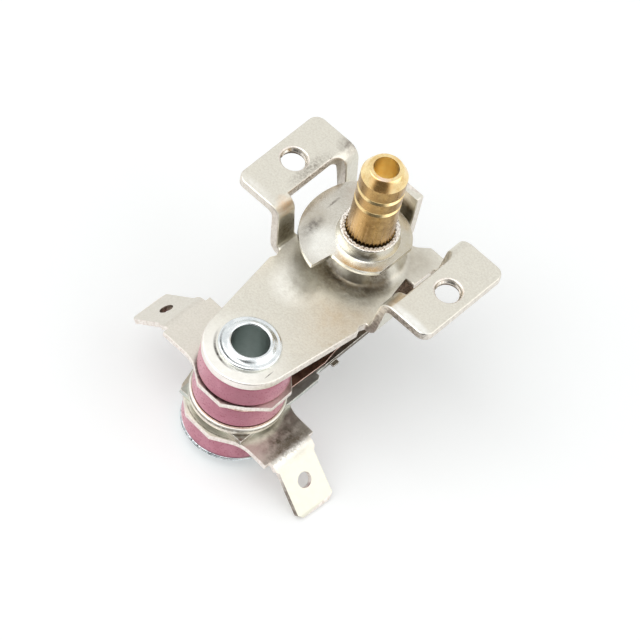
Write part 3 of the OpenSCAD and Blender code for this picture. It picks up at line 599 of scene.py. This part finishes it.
tabSideMarks = [
    # painted shade on the front side of the lower tab
    {"at": (14.6, -26.4, -23), "shape": (0.3, 1, 0), "inner": 0.5, "outer": 1.1,
     "colour": tone(116, 104, 92), "share": (0.6, 1.0)},
]

finishes = {
    # light tone, dark tone
    "nickel": sheetMetal("nickelPlate", tone(231, 228, 216), tone(218, 213, 200), grain=0.8,
                         marks=bracketMarks),
    "tab": sheetMetal("tabNickel", tone(229, 224, 214), tone(218, 213, 201), grain=0.6, marks=tabMarks),
    "sheared": shearedMetal("nickelShearedEdge", tone(240, 234, 225), tone(212, 203, 192),
                            marks=shearedMarks),
    "tabSide": shearedMetal("tabShearedEdge", tone(250, 244, 238), tone(224, 212, 202), marks=tabSideMarks),
    "thread": shearedMetal("tappedThread", tone(246, 240, 230), tone(196, 186, 174), roughness=(0.2, 0.3)),
    # tornFoot is dark brown: partly oxide on the torn metal, partly painted shade of the pit it lies in
    "torn": sheetMetal("tornFoot", tone(120, 102, 88), tone(58, 48, 40), roughness=(0.45, 0.6), grain=1.5),
    "holeWall": sheetMetal("punchedHoleWall", tone(150, 134, 120), tone(92, 80, 70), roughness=(0.4, 0.5)),
    "disc": sheetMetal("discNickel", tone(222, 218, 207), tone(208, 203, 190), roughness=(0.18, 0.28),
                       grain=0.5, marks=discMarks),
    # near white, rough and only partly metallic: a painted highlight along the disc's rounded rim
    "discRim": shearedMetal("discRimHighlight", tone(255, 255, 248), tone(228, 222, 210),
                            roughness=(0.6, 0.75), metal=0.3),
    "bitten": bittenRim("bittenCollarRim", tone(255, 251, 244), tone(146, 130, 114)),
    # one brass in three tones: the darker wall is painted shade, the lighter chamfer, top and bore are
    # painted light
    "brass": turnedMetal("shadedBrass", tone(186, 153, 100), tone(160, 128, 80), roughness=(0.24, 0.34),
                         scratched=True, marks=brassMarks),
    "litBrass": turnedMetal("litTurnedBrass", tone(255, 232, 176), tone(240, 206, 144),
                              roughness=(0.16, 0.26), marks=topMarks),
    "boreBrass": turnedMetal("boredBrass", tone(255, 238, 192), tone(252, 228, 172),
                             roughness=(0.34, 0.44)),
    "zinc": turnedMetal("zincPlate", tone(244, 248, 248), tone(226, 232, 234), roughness=(0.18, 0.28),
                        pitch=0.4, marks=rivetMarks),
    "washer": turnedMetal("washerZinc", tone(240, 246, 248), tone(220, 228, 232), roughness=(0.18, 0.28),
                          pitch=0.4, marks=washerMarks),
    # a slightly darker copy of the zinc: painted shade in the bore
    "zincBore": turnedMetal("zincBore", tone(226, 233, 230), tone(218, 225, 222), roughness=(0.3, 0.36),
                            pitch=0.4),
    "pink": firedCeramic("pinkCeramic", tone(212, 136, 156), tone(194, 110, 131), roughness=(0.24, 0.36),
                         marks=pinkMarks),
    "white": firedCeramic("whiteCeramic", tone(240, 234, 222), tone(226, 218, 204)),
    # copper alloy, darkened as painted shade under the arm; its cut sides (leafSide) lightened as painted
    # highlights
    "leaf": rolledStrip("leafAlloy", tone(150, 118, 100), tone(104, 76, 64)),
    "silver": turnedMetal("contactSilver", tone(232, 233, 230), tone(206, 206, 200), roughness=(0.25, 0.4),
                          pitch=0.15),
    "leafSide": shearedMetal("leafShearedEdge", tone(255, 226, 214), tone(190, 150, 130)),
    # lightened well past its slate grey: painted light against the shade under the arm
    "bimetal": rolledStrip("bimetalStrip", tone(230, 236, 230), tone(184, 188, 182), roughness=(0.36, 0.5),
                           marks=bimetalMarks),
    "bimetalSide": shearedMetal("bimetalShearedEdge", tone(236, 234, 226), tone(150, 146, 136)),
}
print("materials ready:", len(finishes))


# pieces

meshing = {
    "merge": 0.002,   # mm between points that are one
    "flat": 0.4,   # degrees between faces that are one
    "probe": 0.01,   # mm under a face, where the sheet's thickness is felt from
    "thickness": 0.12,   # how far off the sheet's thickness may be, as a part of it
    "segments": 2,   # in a rounded edge
    "slice": 0.001,   # mm to a point that a cut takes as its own
    "smooth": 38,   # degrees past which an edge stays sharp, in most pieces and in the softened copies
    "copySmooth": 32,
}


def cadCopy(node):
    bm = bmesh.new()
    bm.from_mesh(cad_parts[node].data)
    bmesh.ops.remove_doubles(bm, verts=bm.verts, dist=meshing["merge"] * mm)
    return bm


def markCutSides(bm, sheet, drawn=0):
    # a face with the sheet's thickness behind it is a broad side, any other one is a cut side,
    # but for the drawn boss round the shaft
    bm.normal_update()
    tree = BVHTree.FromBMesh(bm)
    for face in bm.faces:
        middle = face.calc_center_median()
        depth = tree.ray_cast(middle - face.normal * meshing["probe"] * mm, -face.normal)[3]
        broad = depth is not None and abs(depth / mm - sheet) < meshing["thickness"] * sheet
        face.material_index = 0 if broad or middle.xy.length < drawn * mm else 1


def joinFlats(bm):
    bmesh.ops.dissolve_limit(bm, angle_limit=math.radians(meshing["flat"]), use_dissolve_boundaries=False,
                             verts=bm.verts, edges=bm.edges, delimit={"MATERIAL"})


def roundEdges(bm, width, sharp, segments=meshing["segments"], wanted=None, material=-1):
    bm.normal_update()
    edges = [e for e in bm.edges
             if len(e.link_faces) == 2 and e.calc_face_angle(0) > math.radians(sharp)
             and (wanted is None or wanted(e))]
    bmesh.ops.bevel(bm, geom=edges, offset=width * mm, offset_type="OFFSET", segments=segments,
                    profile=0.5, affect="EDGES", clamp_overlap=True, material=material)


def makePiece(name, bm, materials, body=None, nodes=(), blend=None, smooth=meshing["smooth"]):
    mesh = bpy.data.meshes.new(name)
    bm.normal_update()
    bm.to_mesh(mesh)
    bm.free()
    for material in materials:
        mesh.materials.append(finishes[material])
    mesh.polygons.foreach_set("use_smooth", [True] * len(mesh.polygons))
    mesh.set_sharp_from_angle(angle=math.radians(smooth))
    obj = bpy.data.objects.new(name, mesh)
    bpy.context.scene.collection.objects.link(obj)
    even = obj.modifiers.new("evenShading", "WEIGHTED_NORMAL")
    even.keep_sharp = True
    if nodes:
        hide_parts(*nodes)
    if blend:
        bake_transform(obj)
    else:
        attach(obj, body)


bracket = {
    "sheet": 1.2,
    "topRound": 0.36,   # rolled edge on the punch side
    "topSegments": 3,
    "backRound": 0.07,
    "sharp": 50,   # degrees: edges that get rounded
    "towards": 0.3,   # how much a face has to look to the punch side
    "wingFrom": 7.4,   # wings and ears lie past this x
    "tabFrom": 6, "tabHalf": 2.2,   # stop tab, in y and in x
    "holeAt": 14,   # tapped holes
    "hole": 1.85,
    "upright": 0.5,   # a hole's wall looks less up or down than this
    "boss": 7.2,   # radius round the shaft that the drawing of the boss has shaped
    "bossTop": 4.25,
    "bossFoot": 6.5,
    "bossLevel": -6.995,   # the boss's wall stands above this
    "bossFlare": 0.8,   # how far the front of the drawn wall is hollowed above its foot
    "flareBack": 4,   # y where the hollow has faded out
    "flareRise": 0.6,   # from the foot to the full hollow
}


def punchSide(face):
    # plate top, inner side of the wings and of the stop tab, ear tops
    c, n = face.calc_center_median() / mm, face.normal
    value = n.z
    if abs(c.x) > bracket["wingFrom"]:
        value -= math.copysign(1, c.x) * n.x
    if c.y > bracket["tabFrom"] and abs(c.x) < bracket["tabHalf"]:
        value -= n.y
    return value > bracket["towards"]


def onPunchSide(edge):
    kinds = [f.material_index for f in edge.link_faces]
    return sorted(kinds) == [0, 1] and any(f.material_index == 0 and punchSide(f) for f in edge.link_faces)


def hollowBoss(bm):
    for vert in bm.verts:
        reach = vert.co.xy.length / mm
        if bracket["bossTop"] < reach < bracket["bossFoot"] and vert.co.z > bracket["bossLevel"] * mm:
            front = min(1, max(0, 1 - vert.co.y / mm / bracket["flareBack"]))
            rise = min(1, (bracket["bossFoot"] - reach) / bracket["flareRise"])
            pull = front * bracket["bossFlare"] * rise
            vert.co.x, vert.co.y = (c * (1 - pull / reach) for c in vert.co.xy)


def buildBracket():
    bm = cadCopy("bracket")
    markCutSides(bm, bracket["sheet"], bracket["boss"])
    hollowBoss(bm)
    for face in bm.faces:
        c = face.calc_center_median() / mm
        inHole = math.hypot(abs(c.x) - bracket["holeAt"], c.y) < bracket["hole"]
        if inHole and abs(face.normal.z) < bracket["upright"]:
            face.material_index = 2
    joinFlats(bm)
    roundEdges(bm, bracket["topRound"], bracket["sharp"], bracket["topSegments"], onPunchSide)
    roundEdges(bm, bracket["backRound"], bracket["sharp"])
    makePiece("bracketStamping", bm, ["nickel", "sheared", "holeWall"], "frame",
              ["bracket"])


shaftZones = {"bore": 1.8, "groove": 3.12, "grooves": (5.8, 9.3), "chamfer": 11.25}   # radii and levels


def shaftFinish(face, c):
    radius = c.xy.length
    if radius < shaftZones["bore"] and c.z > 0:
        return 2
    low, high = shaftZones["grooves"]
    inGroove = radius < shaftZones["groove"] and low < c.z < high
    return 1 if c.z > shaftZones["chamfer"] or inGroove else 0


rivetBore = {"radius": 2.62, "top": -6.6}


def rivetFinish(face, c):
    inBore = (c - rivetAxis / mm).xy.length < rivetBore["radius"] and c.z < rivetBore["top"]
    return 1 if inBore else 0


collarTop = -0.62   # level above which the stop disc's collar is chewed


def discFinish(face, c):
    return 1 if c.z > collarTop else 0


tabHole = {"x": (-15.6, -11.2), "y": -21.9, "reach": 1.5}


def catchHole(face, c):
    # the wall of the hole near the tab's tip
    low, high = tabHole["x"]
    wall = face.material_index == 1 and low < c.x < high and abs(c.y - tabHole["y"]) < tabHole["reach"]
    return 2 if wall else face.material_index


ringCorners = {
    # uneven corners of the upper terminal's ring, round the rivet
    # angle drawn: angle and radius it really has
    "moves": {-37.5: (-44.0, 6.45), -1.5: (-15.6, 7.25), 34.5: (16.3, 7.15)},
    "beyond": 6.8,   # a corner lies past this radius
    "within": 1,   # and this near to the angle drawn, in degrees
}


def shiftCorners(bm):
    for vert in bm.verts:
        arm = (vert.co - rivetAxis) / mm
        angle = math.degrees(math.atan2(arm.y, arm.x))
        for drawn, (real, reach) in ringCorners["moves"].items():
            if arm.xy.length > ringCorners["beyond"] and abs(angle - drawn) < ringCorners["within"]:
                turn = math.radians(real)
                vert.co.x = rivetAxis.x + reach * math.cos(turn) * mm
                vert.co.y = rivetAxis.y + reach * math.sin(turn) * mm


softened = {
    # copies of CAD nodes with rounded edges: finishes, and the function that gives each face one of them,
    # rounding, angle past which an edge gets it, finish of the rounding, thickness if it has cut sides
    "shaft": {"body": "spindle", "finish": ["brass", "litBrass", "boreBrass"], "sort": shaftFinish,
              "slot": "turned_brass", "round": 0.05, "sharp": 18, "smooth": 20},
    "cam_disc": {"body": "spindle", "finish": ["disc", "bitten", "discRim"], "sort": discFinish,
                 "slot": "nickel_plate", "round": 0.2, "sharp": 40, "rim": 2},
    "hollow_rivet": {"finish": ["zinc", "zincBore"], "sort": rivetFinish, "slot": "zinc_plate",
                     "round": 0.05, "sharp": 40},
    "bottom_washer": {"finish": ["washer"], "slot": "zinc_plate", "round": 0.08, "sharp": 30},
    **{ring: {"finish": ["pink"], "slot": "pink_ceramic", "round": 0.12, "sharp": 30}
       for ring in ("upper_ring", "middle_ring", "lower_ring")},
    "insulating_sleeve": {"finish": ["white"], "slot": "white_ceramic", "round": 0.05, "sharp": 30},
    "upper_terminal": {"finish": ["tab", "tabSide", "holeWall"], "sort": catchHole, "slot": "nickel_plate",
                       "round": 0.09, "sharp": 40, "sheet": 0.8, "shift": shiftCorners},
    "lower_terminal": {"finish": ["tab", "tabSide"], "slot": "nickel_plate",
                       "round": 0.09, "sharp": 40, "sheet": 0.8},
    "spacer_washer": {"finish": ["nickel"], "slot": "nickel_plate", "round": 0.1, "sharp": 30},
    **{pin: {"body": body, "finish": ["white"], "slot": "white_ceramic", "round": 0.05, "sharp": 35}
       for pin, body in (("push_tip", "tip"), ("pusher_pin", "pusher"))},
    **{contact: {"body": body, "finish": ["silver"], "slot": "contact_silver", "round": 0.06, "sharp": 35}
       for contact, body in (("upper_contact", "moving_contact"), ("lower_contact", "sprung_contact"))},
}


def buildSoftened():
    for node, make in softened.items():
        bm = cadCopy(node)
        if "sheet" in make:
            markCutSides(bm, make["sheet"])
        if "sort" in make:
            bm.normal_update()
            for face in bm.faces:
                face.material_index = make["sort"](face, face.calc_center_median() / mm)
        if "shift" in make:
            make["shift"](bm)
        joinFlats(bm)
        roundEdges(bm, make["round"], make["sharp"], material=make.get("rim", -1))
        makePiece(node + ".finished", bm, make["finish"], make.get("body", "frame"), [node],
                  smooth=make.get("smooth", meshing["copySmooth"]))


leaf = {"finish": ["leaf", "leafSide"], "sheet": 0.25, "slot": "leaf_alloy", "round": 0.04}
strips = {
    # strips from the frame to the body at their free end
    "upper_leaf": {**leaf, "far": "moving_contact", "from": (0, -15.4, -13.0), "to": (0, -8.4, -13.0)},
    "lower_leaf": {**leaf, "far": "sprung_contact", "from": (0, -15.4, -17.2), "to": (0, -8.4, -17.2)},
    "bimetal_strip": {"finish": ["bimetal", "bimetalSide"], "rim": 1, "slot": "bimetal", "round": 0.07,
                      "far": "pusher", "from": (0, -14.9, -18.9), "to": (0, -2.4, -18.9)},
}
stripSharp = 40   # degrees: edges that get rounded
stripCuts = 12   # stretches between the cuts across a strip
leafBase = {
    "radius": 6.4,
    "end": 4,   # where this ends, from the rivet towards the shaft, and over what length it fades
    "fade": 2,
}


def drawIn(bm):
    # a leaf's round base stays under the ring that clamps it
    for vert in bm.verts:
        arm = (vert.co - rivetAxis) / mm
        reach = arm.xy.length
        if reach > leafBase["radius"] and arm.y < leafBase["end"]:
            share = min(1, (leafBase["end"] - arm.y) / leafBase["fade"])
            factor = 1 + share * (leafBase["radius"] / reach - 1)
            vert.co.x, vert.co.y = rivetAxis.x + arm.x * factor * mm, rivetAxis.y + arm.y * factor * mm


def sliceStrip(bm, start, end):
    for i in range(stripCuts + 1):
        place = start[1] + (end[1] - start[1]) * i / stripCuts
        bmesh.ops.bisect_plane(bm, geom=bm.verts[:] + bm.edges[:] + bm.faces[:], dist=meshing["slice"] * mm,
                               plane_co=(0, place * mm, 0), plane_no=(0, 1, 0))


def buildStrips():
    for node, make in strips.items():
        bm = cadCopy(node)
        if "sheet" in make:
            markCutSides(bm, make["sheet"])
            drawIn(bm)
        joinFlats(bm)
        roundEdges(bm, make["round"], stripSharp, material=make.get("rim", -1))
        start, end = make["from"], make["to"]
        sliceStrip(bm, start, end)
        makePiece(node + ".finished", bm, make["finish"], nodes=[node],
                  blend=("frame", make["far"], Vector(start) * mm, Vector(end) * mm))


threads = {
    # in the two ears and on the shaft's lower end, in mm: axis, radius of root and tip, levels, pitch
    **{name: {"axis": axis, "root": 1.77, "tip": 1.58, "low": -1.12, "high": -0.16, "pitch": 0.7,
              "body": "frame", "finish": "thread", "slot": "nickel_plate"}
       for name, axis in (("leftEarThread", (-14, 0)), ("rightEarThread", (14, 0)))},
    "shaftThread": {"axis": shaftAt, "root": 2.68, "tip": 2.95, "low": -9.9, "high": -6.6, "pitch": 1.0,
                    "body": "spindle", "finish": "brass", "slot": "turned_brass"},
}
ridge = {
    "root": 0.4,   # half its width at the root and at the crest, as parts of the pitch
    "crest": 0.07,
    "steps": 40,   # in one turn
}


def buildThreads():
    for name, make in threads.items():
        bm = bmesh.new()
        half, crest = make["pitch"] * ridge["root"], make["pitch"] * ridge["crest"]
        outline = [(make["root"], -half), (make["tip"], -crest), (make["tip"], crest), (make["root"], half)]
        verts = [bm.verts.new(Vector((r, 0, make["low"] + half + z)) * mm) for r, z in outline]
        start = bm.faces.new(verts)
        steps = round(ridge["steps"] * (make["high"] - make["low"] - 2 * half) / make["pitch"])
        turned = bmesh.ops.spin(bm, geom=start.edges[:], cent=(0, 0, 0), axis=(0, 0, 1), steps=steps,
                                angle=math.tau * steps / ridge["steps"],
                                dvec=(0, 0, make["pitch"] * mm / ridge["steps"]))
        ends = [e for e in turned["geom_last"] if isinstance(e, bmesh.types.BMEdge)]
        bmesh.ops.contextual_create(bm, geom=ends)
        bmesh.ops.recalc_face_normals(bm, faces=bm.faces)
        bmesh.ops.translate(bm, verts=bm.verts, vec=Vector((*make["axis"], 0)) * mm)
        makePiece(name, bm, [make["finish"]], make["body"])


foot = {
    # torn metal left in the right window's foot, in mm
    "across": (6.35, 8.3), "along": (-1.7, 1.65), "level": -7.75, "sag": 0.3, "sheet": 0.2, "tilt": 0.1,
    "cells": 8,
}


def buildFoot():
    bm = bmesh.new()
    bmesh.ops.create_grid(bm, x_segments=foot["cells"], y_segments=foot["cells"], size=0.5)
    (x0, x1), (y0, y1) = foot["across"], foot["along"]
    for vert in bm.verts:
        u, v = vert.co.x, vert.co.y
        z = foot["level"] + foot["tilt"] * u - foot["sag"] * (1 - 4 * u * u) * (1 - 4 * v * v)
        vert.co = Vector(((x0 + x1) / 2 + u * (x1 - x0), (y0 + y1) / 2 + v * (y1 - y0), z)) * mm
    bmesh.ops.solidify(bm, geom=bm.faces[:], thickness=foot["sheet"] * mm)
    bmesh.ops.recalc_face_normals(bm, faces=bm.faces)
    makePiece("tornWindowFoot", bm, ["torn"], "frame")


addCamera()
addLamps()
addWorld()
addFloor()
print("stage ready")
buildBracket()
print("bracket ready")
buildSoftened()
print("rigid copies ready")
buildStrips()
print("strips ready")
buildThreads()
buildFoot()
print("threads and window foot ready")

bpy.context.scene.view_settings.view_transform = "Standard"
